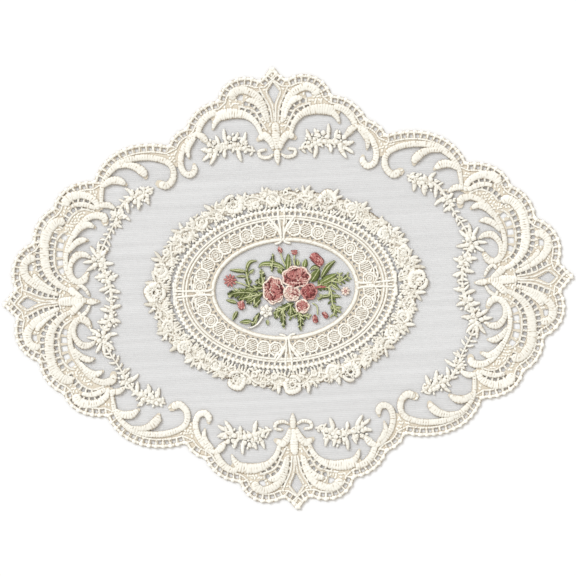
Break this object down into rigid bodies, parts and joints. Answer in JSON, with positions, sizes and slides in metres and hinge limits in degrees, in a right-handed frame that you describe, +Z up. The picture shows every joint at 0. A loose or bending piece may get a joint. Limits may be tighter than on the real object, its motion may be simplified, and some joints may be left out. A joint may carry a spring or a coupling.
{
  "type": "lace doily",
  "caption": "Scalloped organza doily with a pierced satin stitch lace border, corner sprays, side garlands, a rose wreath and a coloured rose bouquet in an oval ring",
  "frame": {"origin": "middle of the doily's outline, on the surface that it lies on", "axes": "+X runs along the long way to the longer side tip, +Y to the longer end tip, +Z up out of the surface"},
  "size_m": [0.3986, 0.3082, 0.0032],
  "materials": {
    "organza": "sheer ribbed",
    "ecru": "satin stitch",
    "rose": "satin stitch",
    "pale_rose": "satin stitch",
    "leaf": "satin stitch"
  },
  "bodies": {
    "root": {"bloom_white": "ecru", "bud_cream": "pale_rose", "bud_large": "rose", "bud_left": "rose", "bud_low": "rose", "bud_low_right": "rose", "bud_top_left": "rose", "bud_top_right": "rose", "foliage_left_1": "leaf", "foliage_left_2": "leaf", "foliage_left_3": "leaf", "foliage_left_4": "leaf", "foliage_low_1": "leaf", "foliage_low_2": "leaf", "foliage_low_3": "leaf", "foliage_right_1": "leaf", "foliage_right_2": "leaf", "garland_east": "ecru", "garland_west": "ecru", "lace_border": "ecru", "medallion_ring": "ecru", "organza_ground": "organza", "rose_left": "rose", "rose_pale": "pale_rose", "rose_right": "rose", "rose_small": "rose", "rose_top": "rose", "rose_wreath": "ecru", "spray_north_east": "ecru", "spray_north_west": "ecru", "spray_south_east": "ecru", "spray_south_west": "ecru", "star_left": "ecru"}
  },
  "joints": []
}
